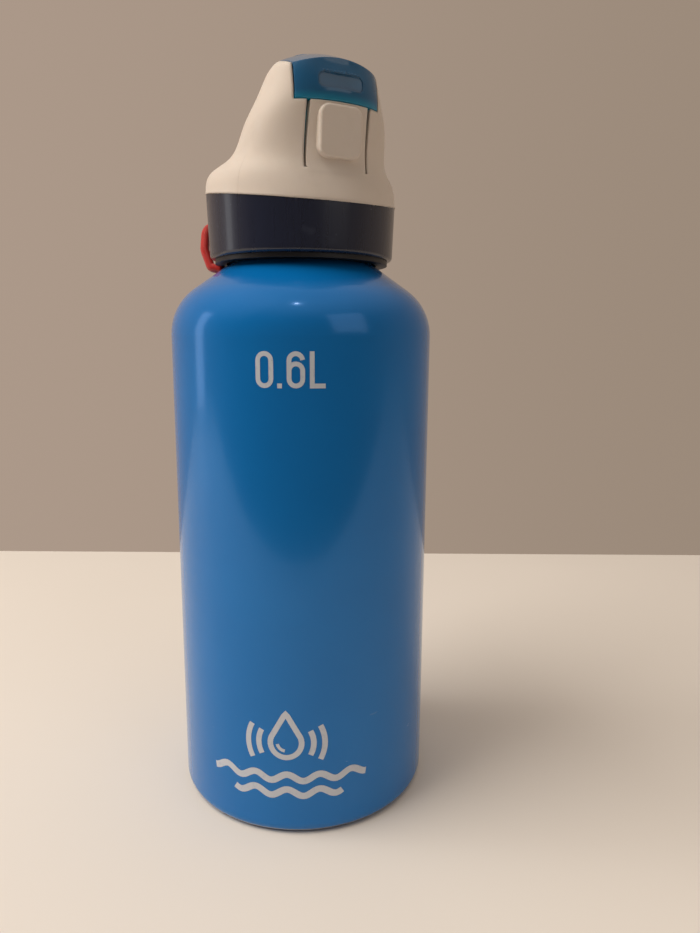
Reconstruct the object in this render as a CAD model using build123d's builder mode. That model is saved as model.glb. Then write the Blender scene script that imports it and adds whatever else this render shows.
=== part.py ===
from build123d import *
import os
from math import copysign, cos, pi, radians, sin, sqrt, tan

# Sports bottle with a flip-lid screw cap. Millimetres, +Z up, origin at the centre of the base on the
# surface it stands on. The cap's front, with its push tongue, faces -Y and the lid's hinge runs along X.

# ---------------------------------------------------------------- bottle
body_radius = 36.5
body_wall = 1.0
base_edge_radius = 3.0
foot_width = 4.5
punt_height = 3.0
wall_top = 133.0
shoulder_radius = 15.3
shoulder_slope = 35.0
neck_radius = 19.4
neck_height = 9.6
lip_radius = 0.4

# ---------------------------------------------------------------- screw thread
thread_pitch = 3.2
thread_turns = 1.6
thread_depth = 1.2
thread_root_width = 1.5
thread_crest_width = 0.8
thread_clearance = 0.3
thread_sink = 0.4
thread_start = 2.6

# ---------------------------------------------------------------- cap core, seal and collar
seal_thickness = 1.5
seal_width = 2.8
seal_side_gap = 0.2
core_wall = 1.5
core_lift = 0.55
deck_thickness = 1.5
flange_thickness = 1.2
collar_wall = 1.35
collar_gap = 1.6
collar_draft = 2.2
collar_edge_radius = 1.1
parting_height = 16.0
parting_tilt = 8.6

# ---------------------------------------------------------------- spout and vent
spout_y = -8.0
spout_bore_radius = 5.2
spout_wall = 1.2
spout_flange_width = 2.6
spout_flange = 1.2
spout_tube_height = 22.0
silicone_wall = 1.2
sleeve_length = 7.0
nozzle_radius = 6.2
nozzle_hole_radius = 2.2
nozzle_wall = 1.6
nozzle_taper = 2.5
nozzle_height = 9.0
nozzle_edge_radius = 0.9
ring_wall = 0.9
ring_height = 2.4
ring_rise = 1.6
vent_y = 13.0
vent_stem_radius = 1.1
vent_hole_radius = 0.7
vent_hole_circle = 2.6
valve_radius = 4.4
valve_lip = 0.5
valve_cap = 1.5
valve_bead_radius = 1.7

# ---------------------------------------------------------------- carry loop
loop_radius = 1.25
loop_ring_thickness = 1.1
loop_ring_height = 1.8
loop_gap = 0.1
loop_notch_gap = 0.2
loop_foot_angle = 57.0
loop_foot_drop = 0.75
loop_bends = [1.6, 5.0, 7.0, 12.0, 12.0, 7.0, 5.0, 1.6]

# ---------------------------------------------------------------- dome cover
dome_wall = 1.8
dome_floor_rise = 11.4
dome_floor_thickness = 1.4
dome_floor_front = 21.2
dome_floor_gap = 0.4
tongue_swing_room = 1.0
cheek_wall = 1.4
spigot_depth = 1.8
spigot_rise = 1.5
spigot_wall = 1.4
spigot_gap = 0.05
crown_radius = 21.7
crown_half_width = 20.0
crown_skirt = 30.0
outline_points = 16
# Stations of the dome above the parting plane's centre:
# (rise, tilt share, half width, widest place, front reach, back reach, front squareness, back squareness)
dome_stations = [
    (0.0, 1.0, 26.2, 0.0, 26.2, 26.2, 2.0, 2.0),
    (3.4, 1.0, 25.7, 0.0, 25.8, 25.7, 2.0, 2.0),
    (6.2, 0.85, 24.0, -1.2, 25.0, 22.5, 2.05, 2.0),
    (9.0, 0.65, 20.9, -4.2, 24.6, 17.0, 2.1, 1.95),
    (12.5, 0.35, 19.3, -6.8, 24.6, 13.0, 2.3, 1.9),
    (18.4, 0.0, 17.3, -9.0, 26.0, 9.5, 2.5, 1.9),
    (23.4, 0.0, 15.0, -10.7, 26.5, 6.0, 2.6, 1.9),
    (29.4, 0.0, 11.9, -12.5, 25.8, 2.0, 2.6, 1.9),
    (36.4, 0.0, 8.4, -13.5, 23.5, -3.0, 2.6, 1.9),
]
# The crown's ridge: (place along Y, rise above the parting plane's centre)
crown_stations = [
    (-40.0, 22.0), (-28.0, 27.4), (-20.0, 31.0), (-13.0, 33.2),
    (-6.0, 33.9), (2.0, 32.2), (12.0, 26.8), (30.0, 13.0),
]

# ---------------------------------------------------------------- flip lid, hinge and plug
lid_half_width = 11.0
lid_tail_half_width = 7.0
lid_tail_y = 6.0
lid_taper_y = -6.0
lid_lower_edge = 18.9
lid_gap = 0.25
lid_swing_room = 1.0
hinge_y = 6.6
hinge_rise = 20.0
barrel_radius = 2.1
barrel_half_width = 5.1
barrel_gap = 0.2
barrel_room = 0.45
boss_width = 3.0
pin_radius = 0.8
pin_clearance = 0.06
spring_half_width = 2.0
spring_wire = 0.5
spring_turns = 4.5
spring_leg = 5.5
spring_post_width = 2.0
spring_post_depth = 1.4
spring_post_inset = 0.9
spring_room = 0.4
plug_radius = 4.4
plug_tip_radius = 1.7
plug_tip = 0.6
plug_gap = 0.05
plug_room = 1.6
plug_boss_wall = 1.0
recess_width = 11.6
recess_height = 3.4
recess_corner = 1.3
recess_rise = 23.2
recess_reach = 25.7

# ---------------------------------------------------------------- push tongue and latch
slit_top_span = 8.0
slit_bottom_span = 8.3
slit_top_width = 0.9
slit_bottom_width = 0.5
tongue_root = 4.0
tongue_root_gap = 0.2
pad_width = 11.4
pad_height = 12.0
pad_corner = 2.6
pad_rise = 2.1
pad_top_reach = 26.9
pad_bottom_reach = 26.1
pad_edge_radius = 0.7
latch_half_width = 5.5
latch_lip_reach = 1.2
latch_lip_height = 1.3
latch_clearance = 0.15
latch_hook = 0.5
latch_post = 1.3
latch_bridge = 2.8

# ---------------------------------------------------------------- derived places
foot_inner_radius = body_radius - base_edge_radius - foot_width
slope_turn = radians(90.0 - shoulder_slope)
slope_start_radius = body_radius - shoulder_radius * (1 - cos(slope_turn))
slope_start_z = wall_top + shoulder_radius * sin(slope_turn)
neck_base_z = slope_start_z + (slope_start_radius - neck_radius) * tan(radians(shoulder_slope))
rim_z = neck_base_z + neck_height
core_inner_radius = neck_radius + thread_depth + thread_clearance
core_outer_radius = core_inner_radius + core_wall
core_bottom_z = neck_base_z - core_lift
deck_bottom_z = rim_z + seal_thickness
deck_top_z = deck_bottom_z + deck_thickness
collar_inner_radius = core_outer_radius + collar_gap
collar_outer_radius = collar_inner_radius + collar_wall
collar_bottom_z = core_bottom_z + flange_thickness
parting_z = collar_bottom_z + parting_height
parting = Plane(origin=(0, 0, parting_z), x_dir=(1, 0, 0), z_dir=(0, -tan(radians(parting_tilt)), 1))
collar_top_z = parting_z + body_radius * tan(radians(parting_tilt))
collar_top_radius = collar_outer_radius + (collar_top_z - collar_bottom_z) * tan(radians(collar_draft))
spout_tube_radius = spout_bore_radius + spout_wall
sleeve_radius = spout_tube_radius + silicone_wall
spout_tube_z = deck_top_z + spout_tube_height
nozzle_top_z = spout_tube_z + nozzle_height
floor_z = parting_z + dome_floor_rise
lid_edge_z = parting_z + lid_lower_edge
hinge_z = parting_z + hinge_rise
dome_top_z = parting_z + max(rise for place, rise in crown_stations) + dome_wall
tongue_root_z = parting_z + tongue_root
loop_ring_z = core_bottom_z + flange_thickness + loop_gap
loop_azimuths = [radians(90 - loop_foot_angle), radians(90 + loop_foot_angle)]
spout_plane = Plane(origin=(0, spout_y, 0), x_dir=(1, 0, 0), z_dir=(0, -1, 0))
spout_axis = Axis((0, spout_y, 0), (0, 0, 1))
hinge_line = Plane(origin=(0, hinge_y, hinge_z), x_dir=(0, 1, 0), z_dir=(1, 0, 0))

os.makedirs("parts", exist_ok=True)


def thread_ridge(root_radius, crest_radius, start_z):
    """A right-hand helical ridge from its root radius to its crest radius, inwards or outwards."""
    depth = crest_radius - root_radius
    with BuildPart() as ridge:
        with BuildLine() as path:
            Helix(pitch=thread_pitch, height=thread_pitch * thread_turns, radius=root_radius,
                  center=(0, 0, start_z))
        with BuildSketch(Plane(origin=path.line @ 0, x_dir=(1, 0, 0), z_dir=path.line % 0)):
            with BuildLine():
                Polyline((0, -thread_root_width / 2), (depth, -thread_crest_width / 2),
                         (depth, thread_crest_width / 2), (0, thread_root_width / 2), close=True)
            make_face()
        sweep(is_frenet=True)
    return ridge.part


# ---------------------------------------------------------------- bottle shell
bottle_thread = thread_ridge(neck_radius - thread_sink, neck_radius + thread_depth,
                             neck_base_z + thread_start)

with BuildPart() as bottle_shell:
    with BuildSketch(Plane.XZ):
        with BuildLine():
            TangentArc((0, punt_height), (foot_inner_radius, 0), tangent=(1, 0))
            Line((foot_inner_radius, 0), (body_radius - base_edge_radius, 0))
            TangentArc((body_radius - base_edge_radius, 0), (body_radius, base_edge_radius), tangent=(1, 0))
            Line((body_radius, base_edge_radius), (body_radius, wall_top))
            TangentArc((body_radius, wall_top), (slope_start_radius, slope_start_z), tangent=(0, 1))
            Polyline((slope_start_radius, slope_start_z), (neck_radius, neck_base_z), (neck_radius, rim_z),
                     (0, rim_z), (0, punt_height))
        make_face()
    revolve(axis=Axis.Z)
    offset(amount=-body_wall, openings=bottle_shell.faces().sort_by(Axis.Z)[-1])
    fillet(bottle_shell.edges().group_by(Axis.Z)[-1], lip_radius)
    add(bottle_thread)

# ---------------------------------------------------------------- seal between the rim and the deck
with BuildPart() as neck_seal:
    with BuildSketch(Plane.XY.offset(rim_z)):
        Circle(core_inner_radius - seal_side_gap)
        Circle(core_inner_radius - seal_side_gap - seal_width, mode=Mode.SUBTRACT)
    extrude(amount=seal_thickness)

# ---------------------------------------------------------------- threaded core with its deck
core_thread = thread_ridge(core_inner_radius + thread_sink, neck_radius + thread_clearance,
                           neck_base_z + thread_start - thread_pitch / 2)

with BuildPart() as cap_core:
    with BuildSketch(Plane.XZ):
        with BuildLine():
            Polyline((core_inner_radius, core_bottom_z), (collar_inner_radius, core_bottom_z),
                     (collar_inner_radius, core_bottom_z + flange_thickness),
                     (core_outer_radius, core_bottom_z + flange_thickness),
                     (core_outer_radius, deck_bottom_z), (collar_inner_radius, deck_bottom_z),
                     (collar_inner_radius, deck_top_z),
                     (0, deck_top_z), (0, deck_bottom_z), (core_inner_radius, deck_bottom_z), close=True)
        make_face()
    revolve(axis=Axis.Z)
    add(core_thread)
    with Locations((0, spout_y, deck_top_z)):
        Hole(spout_bore_radius)
    with Locations((0, vent_y, deck_top_z)):
        Hole(vent_stem_radius)
        with PolarLocations(vent_hole_circle, 4, start_angle=45):
            Hole(vent_hole_radius)
    for azimuth in loop_azimuths:
        with BuildSketch(Plane(origin=(0, 0, core_bottom_z), x_dir=(cos(azimuth), sin(azimuth), 0))):
            with Locations((collar_inner_radius, 0)):
                Rectangle(2 * collar_gap, 2 * (loop_radius + loop_notch_gap))
        extrude(amount=flange_thickness, mode=Mode.SUBTRACT)

# ---------------------------------------------------------------- outer collar
with BuildPart() as collar:
    with BuildSketch(Plane.XZ):
        with BuildLine():
            Polyline((collar_inner_radius, collar_bottom_z), (collar_outer_radius, collar_bottom_z),
                     (collar_top_radius, collar_top_z), (collar_inner_radius, collar_top_z), close=True)
        make_face()
    revolve(axis=Axis.Z)
    fillet(collar.edges().group_by(Axis.Z)[0].sort_by(SortBy.RADIUS)[-1], collar_edge_radius)
    split(bisect_by=parting, keep=Keep.BOTTOM)

# ---------------------------------------------------------------- spout on the deck
with BuildPart() as spout_base:
    with BuildSketch(spout_plane):
        with BuildLine():
            Polyline((spout_bore_radius, deck_top_z), (spout_tube_radius + spout_flange_width, deck_top_z),
                     (spout_tube_radius + spout_flange_width, deck_top_z + spout_flange),
                     (spout_tube_radius, deck_top_z + spout_flange), (spout_tube_radius, spout_tube_z),
                     (spout_bore_radius, spout_tube_z), close=True)
        make_face()
    revolve(axis=spout_axis)

with BuildPart() as mouthpiece:
    with BuildSketch(spout_plane):
        with BuildLine():
            Polyline((spout_tube_radius, spout_tube_z - sleeve_length),
                     (sleeve_radius, spout_tube_z - sleeve_length), (sleeve_radius, spout_tube_z),
                     (nozzle_radius, spout_tube_z + nozzle_taper),
                     (nozzle_radius, nozzle_top_z), (nozzle_hole_radius, nozzle_top_z),
                     (nozzle_hole_radius, nozzle_top_z - nozzle_wall),
                     (nozzle_radius - silicone_wall, nozzle_top_z - nozzle_wall),
                     (nozzle_radius - silicone_wall, spout_tube_z), (spout_tube_radius, spout_tube_z),
                     close=True)
        make_face()
    revolve(axis=spout_axis)
    fillet(mouthpiece.edges().group_by(Axis.Z)[-1].sort_by(SortBy.RADIUS)[-1], nozzle_edge_radius)

with BuildPart() as spout_ring:
    with BuildSketch(Plane.XY.offset(spout_tube_z - sleeve_length + ring_rise)):
        with Locations((0, spout_y)):
            Circle(sleeve_radius + ring_wall)
            Circle(sleeve_radius, mode=Mode.SUBTRACT)
    extrude(amount=ring_height)

# ---------------------------------------------------------------- vent valve
with BuildPart() as vent_valve:
    with BuildSketch(Plane(origin=(0, vent_y, 0), x_dir=(1, 0, 0), z_dir=(0, -1, 0))):
        with BuildLine():
            Polyline((0, deck_bottom_z - valve_cap), (vent_stem_radius, deck_bottom_z - valve_cap),
                     (valve_radius, deck_bottom_z - valve_lip), (valve_radius, deck_bottom_z),
                     (vent_stem_radius, deck_bottom_z), (vent_stem_radius, deck_top_z),
                     (valve_bead_radius, deck_top_z), (vent_stem_radius, deck_top_z + valve_cap),
                     (0, deck_top_z + valve_cap), close=True)
        make_face()
    revolve(axis=Axis((0, vent_y, 0), (0, 0, 1)))

# ---------------------------------------------------------------- carry loop
loop_side = [(loop_foot_angle, collar_inner_radius - 0.4, -loop_foot_drop), (56, 26.6, -0.2),
             (52, 29.2, 5.0), (44, 30.8, 11.0), (24, 32.8, 16.0)]
loop_route = [(-radius * sin(radians(angle)), radius * cos(radians(angle)), core_bottom_z + rise)
              for angle, radius, rise in loop_side]
loop_route += [(-x, y, z) for x, y, z in reversed(loop_route)]

with BuildPart() as carry_loop:
    with BuildLine() as loop_path:
        FilletPolyline(*loop_route, radius=loop_bends)
    with BuildSketch(Plane(origin=loop_path.line @ 0, z_dir=loop_path.line % 0)):
        Circle(loop_radius)
    sweep()
    with BuildSketch(Plane.XY.offset(loop_ring_z)):
        Circle(core_outer_radius + loop_gap + loop_ring_thickness)
        Circle(core_outer_radius + loop_gap, mode=Mode.SUBTRACT)
    extrude(amount=loop_ring_height)
    for x, y, z in (loop_route[0], loop_route[-1]):
        with Locations((x, y, z)):
            Sphere(loop_radius)
        with BuildSketch(Plane.XY.offset(z)):
            with Locations(Vector(x, y).normalized() * (core_outer_radius + collar_gap / 2)):
                Circle(collar_gap / 2 - loop_gap)
        extrude(amount=loop_ring_z + loop_ring_height / 2 - z)


# ---------------------------------------------------------------- dome form and its cutting outlines
def station_outline(half_width, widest, front, back, front_squareness, back_squareness):
    """Points around an egg-like outline, widest at the place given, from -front to back along Y."""
    points = []
    for step in range(outline_points):
        angle = 2 * pi * (step + 0.5) / outline_points
        across, along = cos(angle), sin(angle)
        power = 2 / (back_squareness if along > 0 else front_squareness)
        reach = back - widest if along > 0 else front + widest
        points.append((half_width * copysign(abs(across) ** power, across),
                       widest + reach * copysign(abs(along) ** power, along)))
    return points


def dome_solid(inset):
    """The dome's solid form, shrunk by inset on every side but the bottom."""
    drop = crown_radius - sqrt(crown_radius ** 2 - crown_half_width ** 2)
    with BuildPart() as crown:
        for place, rise in crown_stations:
            top = parting_z + rise - inset
            side, skirt = top - drop, top - drop - crown_skirt
            with BuildSketch(Plane.XZ.offset(-place)):
                with BuildLine():
                    ThreePointArc((-crown_half_width, side), (0, top), (crown_half_width, side))
                    Polyline((crown_half_width, side), (body_radius, skirt), (-body_radius, skirt),
                             (-crown_half_width, side))
                make_face()
        loft()
    with BuildPart() as dome:
        for rise, tilt_share, half_width, widest, front, back, *squareness in dome_stations:
            tilt = tan(radians(parting_tilt * tilt_share))
            with BuildSketch(Plane(origin=(0, 0, parting_z + rise), x_dir=(1, 0, 0), z_dir=(0, -tilt, 1))):
                with BuildLine():
                    Spline(*station_outline(half_width - inset, widest, front - inset, back - inset,
                                            *squareness), periodic=True)
                make_face()
        loft()
        add(crown.part, mode=Mode.INTERSECT)
    return dome.part


def lid_prism(gap, swing_room):
    """The lid's outline seen from above, wider by gap on each side, its taper set back by swing_room."""
    side, tail = lid_half_width + gap, lid_tail_half_width + gap
    taper_y, tail_y = lid_taper_y + swing_room, lid_tail_y + swing_room
    with BuildPart() as prism:
        with BuildSketch(Plane.XY.offset(floor_z)):
            Polygon((-side, -body_radius), (side, -body_radius), (side, taper_y), (tail, tail_y),
                    (tail, body_radius), (-tail, body_radius), (-tail, tail_y), (-side, taper_y), align=None)
        extrude(amount=dome_top_z - floor_z)
    return prism.part


def space_above(front_z, back_z):
    """Everything above one level in front of the lid's taper and above another level behind it."""
    with BuildPart() as space:
        with BuildSketch(Plane.YZ):
            Polygon((-body_radius, front_z), (lid_taper_y, front_z), (lid_taper_y, back_z),
                    (body_radius, back_z), (body_radius, dome_top_z), (-body_radius, dome_top_z), align=None)
        extrude(amount=body_radius, both=True)
    return space.part


def hinge_bars(radius, start, end):
    """Round bars about the hinge axis on both sides, from start to end away from the middle."""
    with BuildPart() as bars:
        for side in (-1, 1):
            with BuildSketch(hinge_line.offset(side * start)):
                Circle(radius)
            extrude(amount=side * (end - start))
    return bars.part


def tongue_prism(grow, root_gap):
    """The tongue's outline between the slits, grown by a share of half the slit's width on each side."""
    top = slit_top_span + grow * slit_top_width / 2
    bottom = slit_bottom_span + grow * slit_bottom_width / 2
    with BuildPart() as prism:
        with BuildSketch(Plane.XZ.offset(dome_floor_front)):
            Polygon((-bottom, tongue_root_z - root_gap), (bottom, tongue_root_z - root_gap),
                    (top, lid_edge_z), (-top, lid_edge_z), align=None)
        extrude(amount=body_radius - dome_floor_front)
    return prism.part


def tilted_ring(outer_radius, inner_radius, low, high):
    """An upright ring cut off parallel to the parting plane, from low to high above it."""
    with BuildPart() as ring:
        with BuildSketch(Plane.XY.offset(deck_top_z)):
            Circle(outer_radius)
            Circle(inner_radius, mode=Mode.SUBTRACT)
        extrude(amount=collar_top_z + high - deck_top_z)
        split(bisect_by=parting.offset(high), keep=Keep.BOTTOM)
        split(bisect_by=parting.offset(low), keep=Keep.TOP)
    return ring.part


outer = dome_solid(0)
middle = dome_solid(dome_wall / 2)
inner = dome_solid(dome_wall)
dome_shell = outer - inner
lid_room = lid_prism(lid_gap, lid_swing_room) & space_above(lid_edge_z - lid_gap, hinge_z - lid_gap)
boss_start = barrel_half_width + barrel_gap
boss_end = boss_start + boss_width
floor_reach = dome_floor_front - tongue_swing_room

# ---------------------------------------------------------------- dome cover
with BuildPart() as dome_floor:
    with BuildSketch(Plane.XY.offset(floor_z - dome_floor_thickness)):
        with Locations((0, (body_radius - floor_reach) / 2)):
            Rectangle(2 * body_radius, body_radius + floor_reach)
        with Locations((0, spout_y)):
            Circle(sleeve_radius + ring_wall + dome_floor_gap, mode=Mode.SUBTRACT)
    extrude(amount=dome_floor_thickness)
    add(lid_prism(lid_gap + cheek_wall, lid_swing_room))
    add(lid_prism(lid_gap, lid_swing_room), mode=Mode.SUBTRACT)
    add(middle, mode=Mode.INTERSECT)
    add(lid_room, mode=Mode.SUBTRACT)

spigot_radius = collar_inner_radius - spigot_gap
with BuildPart() as dome_cover:
    add(dome_shell)
    add(lid_room, mode=Mode.SUBTRACT)
    add(tongue_prism(1, tongue_root_gap), mode=Mode.SUBTRACT)
    add(dome_floor.part)
    add(tilted_ring(spigot_radius, spigot_radius - spigot_wall, -spigot_depth, spigot_rise))
    add(tilted_ring(collar_inner_radius + dome_wall / 2, spigot_radius - spigot_wall, 0, spigot_rise))
    add(hinge_bars(barrel_radius + barrel_room, 0, boss_start), mode=Mode.SUBTRACT)
    add(hinge_bars(barrel_radius, boss_start, boss_end))
    add(hinge_bars(pin_radius, 0, boss_end), mode=Mode.SUBTRACT)
    with BuildSketch(Plane.XY.offset(floor_z - dome_floor_thickness / 2)):
        with Locations((spring_half_width - spring_wire / 2, hinge_y - spring_leg + spring_post_inset)):
            Rectangle(spring_post_width, spring_post_depth)
    extrude(amount=hinge_z - pin_radius - pin_clearance - 1.5 * spring_wire - floor_z + dome_floor_thickness / 2)

# ---------------------------------------------------------------- flip lid
lid_region = lid_prism(0, 0) & space_above(lid_edge_z, hinge_z)
lip_back = -(dome_floor_front + dome_wall)
with BuildPart() as lid_fittings:
    with BuildSketch(Plane.XY.offset(nozzle_top_z + plug_gap + plug_room)):
        with Locations((0, spout_y)):
            Circle(plug_radius + plug_boss_wall)
            Circle(plug_radius, mode=Mode.SUBTRACT)
    extrude(amount=dome_top_z - nozzle_top_z)
    with BuildSketch(Plane.XY.offset(lid_edge_z)):
        with Locations((0, lip_back - (latch_lip_reach + dome_wall) / 2)):
            Rectangle(2 * latch_half_width, latch_lip_reach + dome_wall)
    extrude(amount=latch_lip_height)
    add(middle, mode=Mode.INTERSECT)

with BuildPart() as flip_lid:
    add(dome_shell & lid_region)
    add(lid_fittings.part)
    add(hinge_bars(barrel_radius + barrel_room, barrel_half_width, body_radius), mode=Mode.SUBTRACT)
    add(hinge_bars(barrel_radius, 0, barrel_half_width))
    add(hinge_bars(barrel_radius + barrel_room, 0, spring_half_width + spring_room), mode=Mode.SUBTRACT)
    add(hinge_bars(pin_radius + pin_clearance, 0, boss_end), mode=Mode.SUBTRACT)
    with BuildSketch(Plane.XZ.offset(recess_reach)):
        with Locations((0, parting_z + recess_rise)):
            RectangleRounded(recess_width, recess_height, recess_corner)
    extrude(amount=body_radius - recess_reach, mode=Mode.SUBTRACT)

# ---------------------------------------------------------------- lid plug
with BuildPart() as lid_plug:
    with BuildSketch(spout_plane):
        with BuildLine():
            seat = nozzle_top_z + plug_gap
            Polyline((0, seat - plug_tip), (plug_tip_radius, seat - plug_tip), (plug_tip_radius, seat),
                     (plug_radius, seat), (plug_radius, dome_top_z), (0, dome_top_z), close=True)
        make_face()
    revolve(axis=spout_axis)
    add(inner, mode=Mode.INTERSECT)

# ---------------------------------------------------------------- hinge pin and torsion spring
with BuildPart() as lid_pin:
    with BuildSketch(hinge_line.offset(-boss_end)):
        Circle(pin_radius)
    extrude(amount=2 * boss_end)

coil_radius = pin_radius + pin_clearance + spring_wire
coil_length = 2 * spring_half_width - spring_wire
with BuildPart() as lid_spring:
    with BuildLine() as coil:
        Helix(pitch=coil_length / spring_turns, height=coil_length, radius=coil_radius,
              center=(-coil_length / 2, hinge_y, hinge_z), direction=(1, 0, 0), lefthand=True)
    with BuildSketch(Plane(origin=coil.line @ 0, z_dir=coil.line % 0)):
        Circle(spring_wire / 2)
    sweep(is_frenet=True)
    for end, way in ((0, -1), (1, 1)):
        with BuildSketch(Plane(origin=coil.line @ end, z_dir=(coil.line % end) * way)):
            Circle(spring_wire / 2)
        extrude(amount=spring_leg)

# ---------------------------------------------------------------- push tongue
pad_z = tongue_root_z + pad_rise + pad_height / 2
with BuildPart() as thumb_pad:
    with BuildSketch(Plane.XZ.offset(dome_floor_front)):
        with Locations((0, pad_z)):
            RectangleRounded(pad_width, pad_height, pad_corner)
    extrude(amount=body_radius - dome_floor_front)
    with BuildSketch(Plane.YZ):
        lean = (pad_top_reach - pad_bottom_reach) / 2
        Polygon((0, pad_z - pad_height), (lean - pad_bottom_reach, pad_z - pad_height),
                (-pad_top_reach - lean, pad_z + pad_height), (0, pad_z + pad_height), align=None)
    extrude(amount=pad_width, both=True, mode=Mode.INTERSECT)
    fillet(thumb_pad.faces().sort_by(Axis.Y)[0].edges(), pad_edge_radius)
    add(inner, mode=Mode.SUBTRACT)

hook_front = lip_back + latch_clearance
hook_z = lid_edge_z + latch_lip_height + latch_clearance
post_back = hook_front + latch_hook + latch_post
with BuildPart() as latch:
    with BuildSketch(Plane.YZ):
        with BuildLine():
            Polyline((-body_radius, lid_edge_z - latch_bridge), (post_back, lid_edge_z - latch_bridge),
                     (post_back, hook_z + latch_post), (hook_front, hook_z + latch_post / 2), (hook_front, hook_z),
                     (hook_front + latch_hook, hook_z), (hook_front + latch_hook, lid_edge_z - lid_gap),
                     (-body_radius, lid_edge_z - lid_gap), close=True)
        make_face()
    extrude(amount=latch_half_width, both=True)
    add(outer, mode=Mode.INTERSECT)

with BuildPart() as push_tongue:
    add(dome_shell & tongue_prism(-1, 0))
    add(thumb_pad.part)
    add(latch.part)
    with BuildSketch(Plane.XY.offset(lid_edge_z - lid_gap)):
        with Locations((0, lip_back - body_radius / 2)):
            Rectangle(2 * body_radius, body_radius)
    extrude(amount=lid_gap + latch_lip_height, mode=Mode.SUBTRACT)

pieces = {"bottle_shell": bottle_shell, "neck_seal": neck_seal, "cap_core": cap_core, "collar": collar,
          "spout_base": spout_base, "mouthpiece": mouthpiece, "spout_ring": spout_ring, "vent_valve": vent_valve,
          "carry_loop": carry_loop, "dome_cover": dome_cover, "flip_lid": flip_lid, "lid_plug": lid_plug,
          "lid_pin": lid_pin, "lid_spring": lid_spring, "push_tongue": push_tongue}
for name, piece in pieces.items():
    piece.part.label = name
    export_step(piece.part, f"parts/{name}.step")
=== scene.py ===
"""Looks of a blue steel sports bottle with a domed screw cap, a flip lid and a push tongue."""
import math

import bpy
from mathutils import Matrix, Vector


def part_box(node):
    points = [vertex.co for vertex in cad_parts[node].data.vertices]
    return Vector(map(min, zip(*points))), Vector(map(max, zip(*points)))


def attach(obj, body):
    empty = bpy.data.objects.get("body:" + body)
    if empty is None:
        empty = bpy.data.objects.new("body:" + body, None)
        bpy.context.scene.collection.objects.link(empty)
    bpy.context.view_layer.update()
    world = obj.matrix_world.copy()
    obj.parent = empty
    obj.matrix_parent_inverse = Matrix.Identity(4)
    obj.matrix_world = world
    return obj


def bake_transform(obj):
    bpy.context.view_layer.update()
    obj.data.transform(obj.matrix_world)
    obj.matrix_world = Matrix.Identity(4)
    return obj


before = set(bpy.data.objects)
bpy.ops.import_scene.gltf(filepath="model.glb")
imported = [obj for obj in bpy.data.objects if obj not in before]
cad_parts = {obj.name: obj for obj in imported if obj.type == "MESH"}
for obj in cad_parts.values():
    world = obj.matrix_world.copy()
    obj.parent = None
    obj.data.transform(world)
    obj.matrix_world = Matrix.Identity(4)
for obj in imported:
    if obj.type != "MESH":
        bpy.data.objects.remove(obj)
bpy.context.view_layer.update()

MM = 0.001
BODY_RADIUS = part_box("bottle_shell")[1].x
RIM_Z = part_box("bottle_shell")[1].z
LID_LOW, LID_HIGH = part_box("flip_lid")
TONGUE_LOW, TONGUE_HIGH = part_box("push_tongue")
PRINT_TURN = math.radians(-28.0)         # the printed side, turned from -Y towards -X
# Where the camera stands and its forward and right directions, in the part's frame
VIEW_FORWARD = Vector((0.42955680, 0.88463732, -0.18137740))
VIEW_RIGHT = Vector((0.90001207, -0.43582590, 0.00583566))
VIEW_PLACE = Vector((-0.07690673, -0.19035085, 0.13270000))


# ---------------------------------------------------------------- shader writing
class Value:
    """A socket of a material's nodes, with Python's operators for numbers that vary over a surface."""

    def __init__(self, surface, socket):
        self.surface = surface
        self.socket = socket

    def math(self, operation, *values):
        return self.surface.node("ShaderNodeMath", {"operation": operation}, dict(enumerate(values)))

    def __add__(self, other):
        return self.math("ADD", self, other)

    __radd__ = __add__

    def __sub__(self, other):
        return self.math("SUBTRACT", self, other)

    def __rsub__(self, other):
        return self.math("SUBTRACT", other, self)

    def __mul__(self, other):
        return self.math("MULTIPLY", self, other)

    __rmul__ = __mul__

    def __truediv__(self, other):
        return self.math("DIVIDE", self, other)

    def __abs__(self):
        return self.math("ABSOLUTE", self)

    def above(self, low, high):
        """0 below low, 1 above high, and smooth between."""
        return self.surface.node("ShaderNodeMapRange", {"interpolation_type": "SMOOTHSTEP"},
                                 {"Value": self, "From Min": low, "From Max": high})

    def below(self, low, high):
        """1 below low, 0 above high, and smooth between."""
        return 1 - self.above(low, high)


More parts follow.
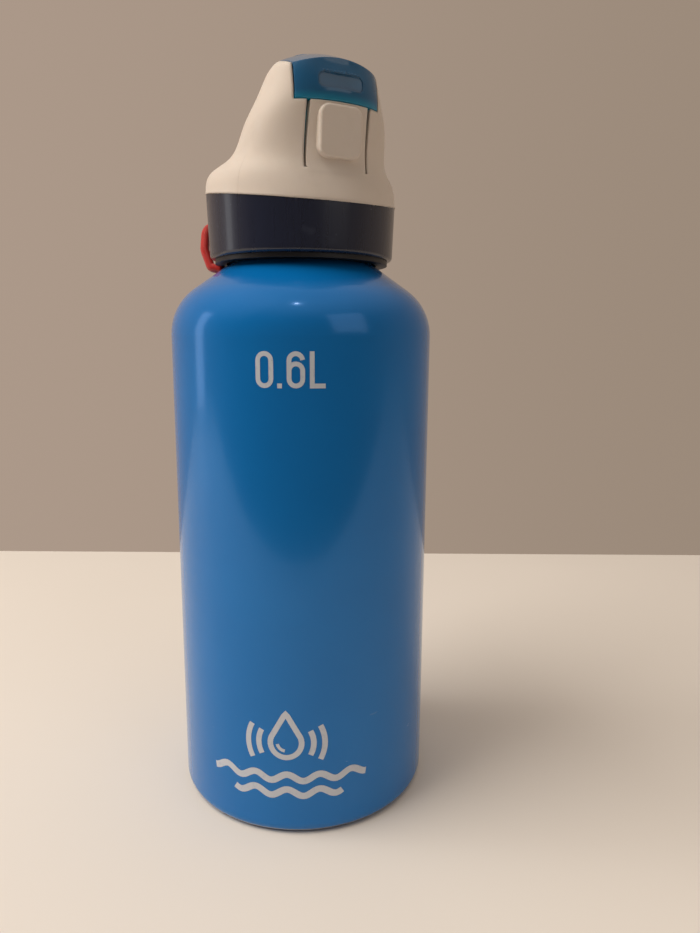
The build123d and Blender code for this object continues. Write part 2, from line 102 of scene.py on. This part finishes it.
class Surface:
    """A material with one main shader, whose even sockets are set by name."""

    def __init__(self, name, **even):
        self.material = bpy.data.materials.new(name)
        self.material.use_nodes = True
        self.tree = self.material.node_tree
        self.tree.nodes.clear()
        self.shader = self.tree.nodes.new("ShaderNodeBsdfPrincipled")
        self.output = self.tree.nodes.new("ShaderNodeOutputMaterial")
        self.tree.links.new(self.shader.outputs[0], self.output.inputs["Surface"])
        place = self.tree.nodes.new("ShaderNodeTexCoord")
        self.place = Value(self, place.outputs["Object"])
        parts = self.tree.nodes.new("ShaderNodeSeparateXYZ")
        self.tree.links.new(place.outputs["Object"], parts.inputs[0])
        self.x, self.y, self.z = (Value(self, parts.outputs[index]) for index in range(3))
        for socket, value in even.items():
            self.shader.inputs[socket.replace("_", " ")].default_value = value

    def node(self, kind, settings=None, inputs=None, output=0):
        made = self.tree.nodes.new(kind)
        settings = dict(settings or {})
        stops = settings.pop("stops", None)
        for name, value in settings.items():
            setattr(made, name, value)
        if stops:
            ramp = made.color_ramp
            while len(ramp.elements) < len(stops):
                ramp.elements.new(0.5)
            for element, (position, colour) in zip(ramp.elements, stops):
                element.position = position
                element.color = (*colour, 1)
        for key, value in (inputs or {}).items():
            self.join(made.inputs[key], value)
        return Value(self, made.outputs[output])

    def join(self, socket, value):
        if isinstance(value, Value):
            self.tree.links.new(value.socket, socket)
        elif isinstance(value, tuple) and len(value) == 3 and socket.type == "RGBA":
            socket.default_value = (*value, 1)
        else:
            socket.default_value = value

    def noise(self, scale, detail=3.0, roughness=0.5, stretch=(1, 1, 1)):
        """Noise with that many waves in a metre, stretched along the axes."""
        point = self.node("ShaderNodeVectorMath", {"operation": "MULTIPLY"}, {0: self.place, 1: stretch})
        return self.node("ShaderNodeTexNoise", None,
                         {"Vector": point, "Scale": scale, "Detail": detail, "Roughness": roughness})

    def turn(self):
        """The angle round the bottle's axis, from -0.5 to 0.5 of a turn."""
        return self.x.math("ARCTAN2", self.x, 0 - self.y) / (2 * math.pi)

    def reach(self):
        """The distance from the bottle's axis."""
        squared = self.x * self.x + self.y * self.y
        return squared.math("SQRT", squared)

    def mix(self, factor, first, second):
        made = self.tree.nodes.new("ShaderNodeMix")
        made.data_type = "RGBA"
        self.join(made.inputs["Factor"], factor)
        self.join(made.inputs[6], first)
        self.join(made.inputs[7], second)
        return Value(self, made.outputs[2])

    def bump(self, height, distance, strength=1.0, soft=None):
        """A bump of that depth in metres; soft is the radius that edges look rounded to."""
        inputs = {"Height": height, "Distance": distance, "Strength": strength}
        if soft:
            inputs["Normal"] = self.node("ShaderNodeBevel", {"samples": 6}, {"Radius": soft})
        return self.node("ShaderNodeBump", None, inputs)

    def set(self, **sockets):
        for name, value in sockets.items():
            self.join(self.shader.inputs[name.replace("_", " ")], value)
        return self

    def cover(self, mask, other):
        """Another surface's look takes over where mask is 1."""
        blend = self.tree.nodes.new("ShaderNodeMixShader")
        self.join(blend.inputs[0], mask)
        self.tree.links.new(self.shader.outputs[0], blend.inputs[1])
        self.tree.links.new(other.outputs[0], blend.inputs[2])
        self.tree.links.new(blend.outputs[0], self.output.inputs["Surface"])
        return self

    def second_shader(self, **sockets):
        made = self.tree.nodes.new("ShaderNodeBsdfPrincipled")
        for name, value in sockets.items():
            self.join(made.inputs[name.replace("_", " ")], value)
        return made


# ---------------------------------------------------------------- materials
def lacquered_steel():
    """Glossy blue lacquer outside, drawn bare steel inside and on the threaded neck."""
    steel = Surface("lacquered_steel", Metallic=0.15, Coat_Weight=0.15, Coat_Roughness=0.06, IOR=1.42)
    cloud = steel.noise(28, 2)
    orange_peel = steel.noise(900, 2)
    scratch = steel.noise(260, 4, 0.7, (1, 1, 0.05)).above(0.70, 0.76) * steel.noise(60, 2).above(0.52, 0.62)
    scuff = steel.noise(420, 3, 0.6, (0.25, 0.25, 1)).above(0.71, 0.76) * steel.z.below(0.010, 0.045)
    colour = steel.mix(cloud, (0.002, 0.150, 0.47), (0.003, 0.182, 0.54))
    colour = steel.mix(scratch * 0.35, colour, (0.12, 0.30, 0.48))
    colour = steel.mix(scuff * 0.5, colour, (0.25, 0.36, 0.46))
    steel.set(Base_Color=colour, Roughness=0.13 + cloud * 0.06 + scratch * 0.2 + scuff * 0.3,
              Normal=steel.bump(orange_peel * 0.35 + cloud * 2.5 - scratch * 0.5, 0.02 * MM))
    drawn = steel.noise(700, 3, 0.6, (0.05, 0.05, 1))
    bare = steel.second_shader(Metallic=1.0, Roughness=0.24 + drawn * 0.16,
                               Normal=steel.bump(drawn, 0.03 * MM),
                               Base_Color=steel.mix(drawn, (0.42, 0.42, 0.41), (0.62, 0.61, 0.59)))
    below_shoulder = steel.z.below(0.130, 0.131)
    above_foot = steel.z.above(0.8 * MM, 1.0 * MM)
    within_wall = steel.reach().below(BODY_RADIUS - 0.55 * MM, BODY_RADIUS - 0.35 * MM)
    inside = within_wall * below_shoulder * above_foot
    neck = steel.z.above(RIM_Z - 10.2 * MM, RIM_Z - 10.0 * MM)
    return steel.cover(inside.math("MAXIMUM", inside, neck), bare).material


def navy_plastic():
    """The collar's dark plastic, with fine upright drawing marks and light handling wear."""
    navy = Surface("navy_plastic", Coat_Weight=0.35, Coat_Roughness=0.12, IOR=1.5)
    upright = navy.noise(900, 2, 0.5, (1, 1, 0.03))
    wear = navy.noise(150, 4, 0.65).above(0.60, 0.72)
    nick = navy.noise(700, 3, 0.6).above(0.70, 0.74) * navy.noise(90, 2).above(0.5, 0.6)
    colour = navy.mix(upright, (0.0070, 0.0105, 0.027), (0.011, 0.016, 0.038))
    colour = navy.mix(wear * 0.25, colour, (0.030, 0.040, 0.070))
    colour = navy.mix(nick * 0.5, colour, (0.10, 0.12, 0.16))
    return navy.set(Base_Color=colour, Roughness=0.24 + upright * 0.08 + wear * 0.14,
                    Normal=navy.bump(upright * 1.4 + nick, 0.015 * MM, soft=0.3 * MM)).material


def warm_white_plastic(name, edge_softness):
    """The dome's satin plastic: faint mottling, hand soiling, a mould line and softened edges."""
    white = Surface(name, Subsurface_Weight=0.12, Subsurface_Scale=1.2 * MM, IOR=1.48,
                    Subsurface_Radius=(1.0, 0.7, 0.5), Coat_Weight=0.12, Coat_Roughness=0.3)
    cloud = white.noise(55, 3)
    grain = white.noise(2600, 2)
    soiled = white.noise(120, 4, 0.7).above(0.52, 0.80)
    mould_line = abs(white.turn() + 0.165).below(0.0003, 0.0007) * white.z.below(0.176, 0.178)
    colour = white.mix(cloud, (0.69, 0.60, 0.52), (0.74, 0.655, 0.575))
    colour = white.mix(soiled * 0.12, colour, (0.48, 0.39, 0.31))
    colour = white.mix(mould_line * 0.3, colour, (0.45, 0.38, 0.30))
    relief = grain * 0.6 + cloud * 2 - mould_line * 3
    return white.set(Base_Color=colour, Roughness=0.36 + cloud * 0.1 + soiled * 0.1,
                     Normal=white.bump(relief, 0.012 * MM, soft=edge_softness)).material


def clear_blue_plastic():
    """The lid's deep blue clear plastic, with a painted lighter, greener glow along its lower edge standing
    in for light that passes out through it.
    """
    blue = Surface("clear_blue_plastic", IOR=1.49, Transmission_Weight=0.2, Coat_Weight=0.4,
                   Coat_Roughness=0.05)
    flow = blue.noise(70, 3, 0.5, (1, 1, 0.5))
    # painted light: this mask lightens and greens the lid along its lower edge, standing in for light passing
    # out through the plastic
    painted_glow_band = blue.z.below(LID_LOW.z + 0.4 * MM, LID_LOW.z + 3.2 * MM)
    smear = blue.noise(240, 4, 0.7).above(0.55, 0.75)
    colour = blue.mix(flow, (0.010, 0.095, 0.225), (0.018, 0.150, 0.320))
    colour = blue.mix(painted_glow_band * 0.75, colour, (0.010, 0.210, 0.330))
    # painted glow: emission along the lower edge, though the lid is no lamp
    glow = blue.mix(painted_glow_band, (0.0, 0.0, 0.0), (0.0, 0.09, 0.12))
    return blue.set(Base_Color=colour, Roughness=0.09 + smear * 0.14 + flow * 0.05,
                    Emission_Color=glow, Emission_Strength=0.35,
                    Normal=blue.bump(flow + smear * 0.2, 0.05 * MM, soft=0.5 * MM)).material


def teal_liner_plastic():
    """The clear blue-green plastic seen in the slits beside the tongue, with painted shade low down and a
    painted glow near the top.
    """
    teal = Surface("teal_liner_plastic", IOR=1.49, Coat_Weight=0.5, Coat_Roughness=0.1, Emission_Strength=0.5)
    # painted light and shade: this height mask takes the strip's teal nearly to black low in the slits as
    # painted shade, and brightens it near the top with a painted teal glow standing in for light passing
    # through the lid
    high = teal.z.above(TONGUE_LOW.z + 2 * MM, TONGUE_HIGH.z)
    flow = teal.noise(200, 3)
    return teal.set(Base_Color=teal.mix(high, (0.006, 0.035, 0.045), (0.010, 0.26, 0.32)),
                    Roughness=0.2 + flow * 0.15,
                    Emission_Color=teal.mix(high, (0.0, 0.004, 0.006), (0.0, 0.13, 0.16))).material


def black_plastic():
    """Satin black plastic of the core, its deck, the spout's tube and the ring."""
    black = Surface("black_plastic", IOR=1.5)
    grain = black.noise(1500, 3)
    dust = black.noise(300, 4, 0.7).above(0.58, 0.75)
    return black.set(Base_Color=black.mix(dust * 0.3, (0.010, 0.010, 0.012), (0.055, 0.052, 0.050)),
                     Roughness=0.34 + grain * 0.18,
                     Normal=black.bump(grain, 0.02 * MM, soft=0.2 * MM)).material


def soft_silicone():
    """Milky soft rubber of the mouthpiece, plug, valve and seal."""
    milk = Surface("soft_silicone", Subsurface_Weight=0.5, Subsurface_Scale=2 * MM, IOR=1.41,
                   Sheen_Weight=0.15)
    cloud = milk.noise(260, 3)
    return milk.set(Base_Color=milk.mix(cloud, (0.66, 0.66, 0.64), (0.76, 0.76, 0.745)),
                    Roughness=0.42 + cloud * 0.16,
                    Normal=milk.bump(milk.noise(1800, 2), 0.015 * MM)).material


def red_rubber():
    """The carry loop's red rubber, a little clear at its edges."""
    red = Surface("red_rubber", Subsurface_Weight=0.35, Subsurface_Scale=1.5 * MM, IOR=1.45,
                  Subsurface_Radius=(1.0, 0.25, 0.2), Coat_Weight=0.15, Coat_Roughness=0.3)
    cloud = red.noise(320, 3)
    bloom = red.noise(900, 3, 0.7).above(0.55, 0.75)
    colour = red.mix(cloud, (0.40, 0.018, 0.016), (0.54, 0.030, 0.024))
    return red.set(Base_Color=red.mix(bloom * 0.15, colour, (0.62, 0.20, 0.17)), Roughness=0.34 + bloom * 0.2,
                   Normal=red.bump(cloud, 0.03 * MM)).material


def drawn_steel():
    """Bright drawn wire of the hinge pin and the spring."""
    wire = Surface("drawn_steel", Metallic=1.0)
    streak = wire.noise(1800, 3, 0.6, (0.1, 1, 1))
    return wire.set(Base_Color=wire.mix(streak, (0.46, 0.46, 0.45), (0.66, 0.65, 0.63)),
                    Roughness=0.22 + streak * 0.2, Normal=wire.bump(streak, 0.01 * MM)).material


def printed_ink():
    """Pale grey screen print, a little worn."""
    ink = Surface("printed_ink", IOR=1.5, Coat_Weight=0.3, Coat_Roughness=0.15)
    wear = ink.noise(500, 4, 0.7).above(0.52, 0.72)
    return ink.set(Base_Color=ink.mix(wear, (0.57, 0.60, 0.66), (0.45, 0.50, 0.60)),
                   Roughness=0.32 + wear * 0.15).material


def table_top():
    """The pale floor: warm matt white with a faint tone change."""
    table = Surface("table_top", IOR=1.45)
    tone = table.noise(6, 3)
    return table.set(Base_Color=table.mix(tone, (0.76, 0.70, 0.635), (0.80, 0.74, 0.675)),
                     Roughness=0.5 + tone * 0.1).material


# ---------------------------------------------------------------- printed marks
def on_body(along, up):
    """A point on the printed side of the body: millimetres to the right and up, from the mark's centre."""
    turn = PRINT_TURN + along / (BODY_RADIUS / MM)
    radius = BODY_RADIUS + 0.03 * MM
    return Vector((radius * math.sin(turn), -radius * math.cos(turn), up * MM))


def arc(centre, radius, start, end, steps=10):
    """Points on an arc, from start to end in degrees."""
    turns = [math.radians(start + (end - start) * step / steps) for step in range(steps + 1)]
    return [(centre[0] + radius * math.cos(turn), centre[1] + radius * math.sin(turn)) for turn in turns]


def line(start, end, steps=6):
    """Points on a straight run."""
    return [tuple(a + (b - a) * step / steps for a, b in zip(start, end)) for step in range(steps + 1)]


def stroke(path, width):
    """The two sides of a flat line of that width along a path, as pairs of points."""
    closest = 0.01
    clean = [path[0]]
    for point in path[1:]:
        if math.dist(point, clean[-1]) > closest:
            clean.append(point)
    pairs = []
    for index, point in enumerate(clean):
        ahead = clean[min(index + 1, len(clean) - 1)]
        behind = clean[max(index - 1, 0)]
        way = Vector((ahead[0] - behind[0], ahead[1] - behind[1])).normalized()
        side = Vector((-way.y, way.x)) * width / 2
        pairs.append((Vector(point) + side, Vector(point) - side))
    return pairs


def print_mark(name, strokes, right, height):
    """A flat mark on the body, its centre that many millimetres right and up from the printed side's foot."""
    points, faces = [], []
    for pairs in strokes:
        first = len(points)
        for left_side, right_side in pairs:
            points.append(on_body(right + left_side.x, height + left_side.y))
            points.append(on_body(right + right_side.x, height + right_side.y))
        for index in range(len(pairs) - 1):
            corner = first + 2 * index
            faces.append((corner, corner + 1, corner + 3, corner + 2))
    return piece(name, points, faces, printed_ink_look, "bottle", smooth=False)


def capacity_digits():
    """Strokes of the capacity figure: 0, a point, 6 and L, in round narrow letters."""
    tall, wide, pen = 8.8, 4.4, 1.15
    radius = (wide - pen) / 2
    top, bottom = tall / 2 - pen / 2 - radius, -tall / 2 + pen / 2 + radius
    zero_x, point_x, six_x, ell_x, ell_end = -6.3, -2.6, 1.35, 5.25, 8.5
    six_bowl = bottom + 2.0
    zero = arc((zero_x, top), radius, 0, 180) + arc((zero_x, bottom), radius, 180, 360)
    zero.append((zero_x + radius, top))
    point = line((point_x, -tall / 2), (point_x, -tall / 2 + pen), 1)
    six = arc((six_x, top), radius, 5, 180) + arc((six_x, bottom), radius, 180, 360)
    six += arc((six_x, six_bowl), radius, 0, 172)
    ell_up = line((ell_x, tall / 2), (ell_x, -tall / 2))
    ell_foot = line((ell_x + pen / 2, -tall / 2 + pen / 2), (ell_end, -tall / 2 + pen / 2))
    return [stroke(path, pen) for path in (zero, point, six, ell_up, ell_foot)]


def drop_emblem():
    """Strokes of a water drop between two pairs of arcs."""
    centre, tip, pen, thin_pen = (0, -2.0), (0, 6.6), 1.5, 0.9
    drop = arc(centre, 4.2, -215, 35, 24)
    drop = drop + line(drop[-1], tip, 8) + line(tip, drop[0], 8)
    glint = arc(centre, 2.3, 190, 262, 8)
    strokes = [stroke(drop, pen), stroke(glint, thin_pen)]
    for side in (-1, 1):
        for reach in (7.4, 10.4):
            strokes.append(stroke(arc(centre, reach, 90 - side * 62, 90 - side * 118, 12), pen))
    return strokes


def ripple_band():
    """Strokes of two long even ripples."""
    steps, pen, wave_height, wave_share = 72, 1.9, 0.95, 2.2
    strokes = []
    for row, half_width in ((2.2, 22.0), (-2.2, 15.0)):
        path = []
        for step in range(steps + 1):
            along = -half_width + 2 * half_width * step / steps
            wave = math.cos(math.pi * (step / steps - 0.5) * half_width / wave_share)
            path.append((along, row + wave_height * wave))
        strokes.append(stroke(path, pen))
    return strokes


# ---------------------------------------------------------------- pieces
def piece(name, points, faces, look, body, smooth=True):
    """A mesh piece that rides on a body and takes its finish from a material slot."""
    mesh = bpy.data.meshes.new(name)
    mesh.from_pydata([tuple(point) for point in points], [], faces)
    mesh.update()
    mesh.materials.append(look)
    for face in mesh.polygons:
        face.use_smooth = smooth
    made = bpy.data.objects.new(name, mesh)
    bpy.context.scene.collection.objects.link(made)
    if body:
        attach(made, body)
    return made


def dress_node(name, look):
    """Puts a material on a CAD node."""
    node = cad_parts[name]
    node.data.materials.clear()
    node.data.materials.append(look)


def grip_beads():
    """A row of small raised beads over the lid's finger recess."""
    points, faces = [], []
    count, half, rings, sides = 11, 4.6 * MM, 3, 8
    bead_radius, flatness, sunk, crown = 0.30 * MM, 0.7, 0.15, 0.165 * MM
    height = LID_LOW.z + (LID_HIGH.z - LID_LOW.z) * 0.46
    for bead in range(count):
        across = -half + 2 * half * bead / (count - 1)
        place, normal = skin_point(across, height, ("flip_lid",))
        turn = normal.to_track_quat("Z", "Y").to_matrix()
        first = len(points)
        for ring in range(rings):
            lift, spread = math.sin(0.5 * math.pi * ring / rings), math.cos(0.5 * math.pi * ring / rings)
            for step in range(sides):
                around = 2 * math.pi * step / sides
                local = Vector((spread * math.cos(around), spread * math.sin(around), lift * flatness - sunk))
                points.append(place + turn @ (local * bead_radius))
        points.append(place + turn @ Vector((0, 0, crown)))
        for ring in range(rings - 1):
            for step in range(sides):
                corner = first + ring * sides + step
                after = first + ring * sides + (step + 1) % sides
                faces.append((corner, after, after + sides, corner + sides))
        top = first + (rings - 1) * sides
        faces += [(top + step, top + (step + 1) % sides, len(points) - 1) for step in range(sides)]
    piece("grip_beads", points, faces, lid_look, "lid")


def slit_liner(side):
    """A curved strip of clear plastic behind one of the slits beside the tongue."""
    points, faces = [], []
    rows, columns = 14, 6
    inner_edge, width = 7.3 * MM, 2.6 * MM
    front, bow, curl = -20.9 * MM, 0.5 * MM, 0.35 * MM
    top = TONGUE_HIGH.z - 3.4 * MM
    for row in range(rows + 1):
        up = row / rows
        height = TONGUE_LOW.z + (top - TONGUE_LOW.z) * up
        for column in range(columns + 1):
            out = column / columns
            depth = front - bow * math.sin(math.pi * up) + curl * out ** 2
            points.append((side * (inner_edge + width * out), depth, height))
    for row in range(rows):
        for column in range(columns):
            corner = row * (columns + 1) + column
            faces.append((corner, corner + 1, corner + columns + 2, corner + columns + 1))
    name = "slit_liner_left" if side < 0 else "slit_liner_right"
    made = piece(name, points, faces, teal_look, "cap")
    thick = made.modifiers.new("wall", "SOLIDIFY")
    thick.thickness = 0.6 * MM


def skin_point(across, height, nodes):
    """The point of the cap's front skin at that place across and that height, and its outward direction."""
    start = Vector((across, -BODY_RADIUS, height))
    hits = [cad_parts[name].ray_cast(start, Vector((0, 1, 0))) for name in nodes]
    hits = [(place, normal) for found, place, normal, face in hits if found]
    return min(hits, key=lambda hit: hit[0].y)


def hinge_web():
    """The thin skin that joins the tongue's root to the dome; it is fixed in place and does not move with the
    tongue.
    """
    root = TONGUE_LOW.z
    rows = [root + step * MM for step in (-1.3, -0.9, -0.5, -0.32, 0.06, 0.3, 0.7, 1.1)]
    half, columns = 7.9 * MM, 24
    points, faces = [], []
    for height in rows:
        for column in range(columns + 1):
            across = -half + 2 * half * column / columns
            place = skin_point(across, height, ("dome_cover", "push_tongue"))[0]
            points.append(place + Vector((0, -0.03 * MM, 0)))
    for row in range(len(rows) - 1):
        for column in range(columns):
            corner = row * (columns + 1) + column
            faces.append((corner, corner + 1, corner + columns + 2, corner + columns + 1))
    made = piece("hinge_web", points, faces, white_look, None)
    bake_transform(made)


# ---------------------------------------------------------------- floor, lights and camera
def floor():
    """A pale table, deep enough for the bottle and its shadow."""
    view = Vector((VIEW_FORWARD.x, VIEW_FORWARD.y, 0)).normalized()
    side = Vector((view.y, -view.x, 0))
    far, near, half = 0.216, 0.27, 2.0
    corners = [view * far - side * half, view * far + side * half,
               side * half - view * near, -side * half - view * near]
    mesh = bpy.data.meshes.new("table")
    mesh.from_pydata([tuple(corner) for corner in corners], [], [(0, 1, 2, 3)])
    mesh.materials.append(table_top())
    table = bpy.data.objects.new("table", mesh)
    bpy.context.scene.collection.objects.link(table)


def soft_light(name, place, target, size, power, colour, mirrored=True):
    """A soft lamp aimed at a point; one that isn't mirrored leaves no glare on glossy paint."""
    lamp = bpy.data.lights.new(name, "AREA")
    lamp.shape = "RECTANGLE"
    lamp.size, lamp.size_y = size
    lamp.energy = power
    lamp.color = colour
    made = bpy.data.objects.new(name, lamp)
    made.location = place
    made.rotation_euler = (Vector(target) - Vector(place)).to_track_quat("-Z", "Y").to_euler()
    made.visible_glossy = mirrored
    bpy.context.scene.collection.objects.link(made)


def seat(left, toward, up):
    """A place in the room, in metres to the viewer's left, towards the viewer and up."""
    flat = Vector((VIEW_FORWARD.x, VIEW_FORWARD.y, 0)).normalized()
    aside = Vector((-flat.y, flat.x, 0))
    return aside * left - flat * toward + Vector((0, 0, up))


def room():
    """The wall's warm grey behind the bottle, dimmer on the viewer's side and lighter overhead."""
    world = bpy.data.worlds.new("room")
    bpy.context.scene.world = world
    world.use_nodes = True
    nodes, links = world.node_tree.nodes, world.node_tree.links
    background = nodes["Background"]
    way = nodes.new("ShaderNodeTexCoord").outputs["Generated"]

    def share(direction, low, high):
        dot = nodes.new("ShaderNodeVectorMath")
        dot.operation = "DOT_PRODUCT"
        dot.inputs[1].default_value = direction
        links.new(way, dot.inputs[0])
        ramp = nodes.new("ShaderNodeMapRange")
        ramp.interpolation_type = "SMOOTHSTEP"
        ramp.inputs["From Min"].default_value = low
        ramp.inputs["From Max"].default_value = high
        links.new(dot.outputs["Value"], ramp.inputs["Value"])
        return ramp.outputs[0]

    def mix(factor, first, second):
        made = nodes.new("ShaderNodeMix")
        made.data_type = "RGBA"
        links.new(factor, made.inputs["Factor"])
        for index, value in ((6, first), (7, second)):
            if isinstance(value, tuple):
                made.inputs[index].default_value = (*value, 1)
            else:
                links.new(value, made.inputs[index])
        return made.outputs[2]

    wall = mix(share(VIEW_RIGHT, -0.6, 0.6), (0.415, 0.320, 0.255), (0.325, 0.252, 0.194))
    sides = mix(share(VIEW_FORWARD, -0.75, 0.20), (0.13, 0.105, 0.088), wall)
    links.new(mix(share((0, 0, 1), 0.45, 0.95), sides, (0.62, 0.55, 0.48)), background.inputs["Color"])


def studio():
    """A soft key from the upper left, a window beside it, a small lamp overhead and a weak fill."""
    room()
    middle = (0, 0, 0.11)
    soft_light("key", seat(0.66, 0.22, 0.90), middle, (0.80, 0.80), 10.8, (1.0, 0.95, 0.88),
               mirrored=False)
    soft_light("window", seat(0.78, -0.02, 0.28), middle, (0.14, 0.50), 0.3, (0.94, 0.97, 1.0))
    soft_light("lamp", seat(0.02, 0.42, 0.85), middle, (0.03, 0.03), 0.12, (1.0, 0.93, 0.85))
    soft_light("fill", seat(-0.60, 0.60, 0.50), middle, (0.50, 0.50), 0.5, (1.0, 0.95, 0.9))
    bpy.context.scene.view_settings.view_transform = "Standard"


def camera():
    """At the cap's height, in front and a little to the left."""
    lens = bpy.data.cameras.new("camera")
    made = bpy.data.objects.new("camera", lens)
    up = VIEW_RIGHT.cross(VIEW_FORWARD)
    turn = Matrix((VIEW_RIGHT, up, -VIEW_FORWARD)).transposed()
    made.matrix_world = Matrix.Translation(VIEW_PLACE) @ turn.to_4x4()
    lens.sensor_width = 36
    lens.lens = 27.01
    lens.clip_start = 0.005
    bpy.context.scene.collection.objects.link(made)
    bpy.context.scene.camera = made


printed_ink_look = printed_ink()
teal_look = teal_liner_plastic()
white_look = warm_white_plastic("warm_white_plastic", 0.9 * MM)
tongue_look = warm_white_plastic("warm_white_plastic_tongue", 0.25 * MM)
lid_look = clear_blue_plastic()
black_look = black_plastic()
silicone_look = soft_silicone()
wire_look = drawn_steel()

node_looks = {
    "bottle_shell": lacquered_steel(), "collar": navy_plastic(), "dome_cover": white_look,
    "push_tongue": tongue_look, "flip_lid": lid_look, "cap_core": black_look, "spout_base": black_look,
    "spout_ring": black_look, "mouthpiece": silicone_look, "lid_plug": silicone_look,
    "vent_valve": silicone_look, "neck_seal": silicone_look, "carry_loop": red_rubber(),
    "lid_pin": wire_look, "lid_spring": wire_look}
for node_name, look in node_looks.items():
    dress_node(node_name, look)

print_mark("capacity_mark", capacity_digits(), 0.9, 125.0)
print_mark("drop_mark", drop_emblem(), -1.2, 29.3)
print_mark("ripple_mark", ripple_band(), -1.0, 15.0)
for side in (-1, 1):
    slit_liner(side)
hinge_web()
grip_beads()
floor()
studio()
camera()
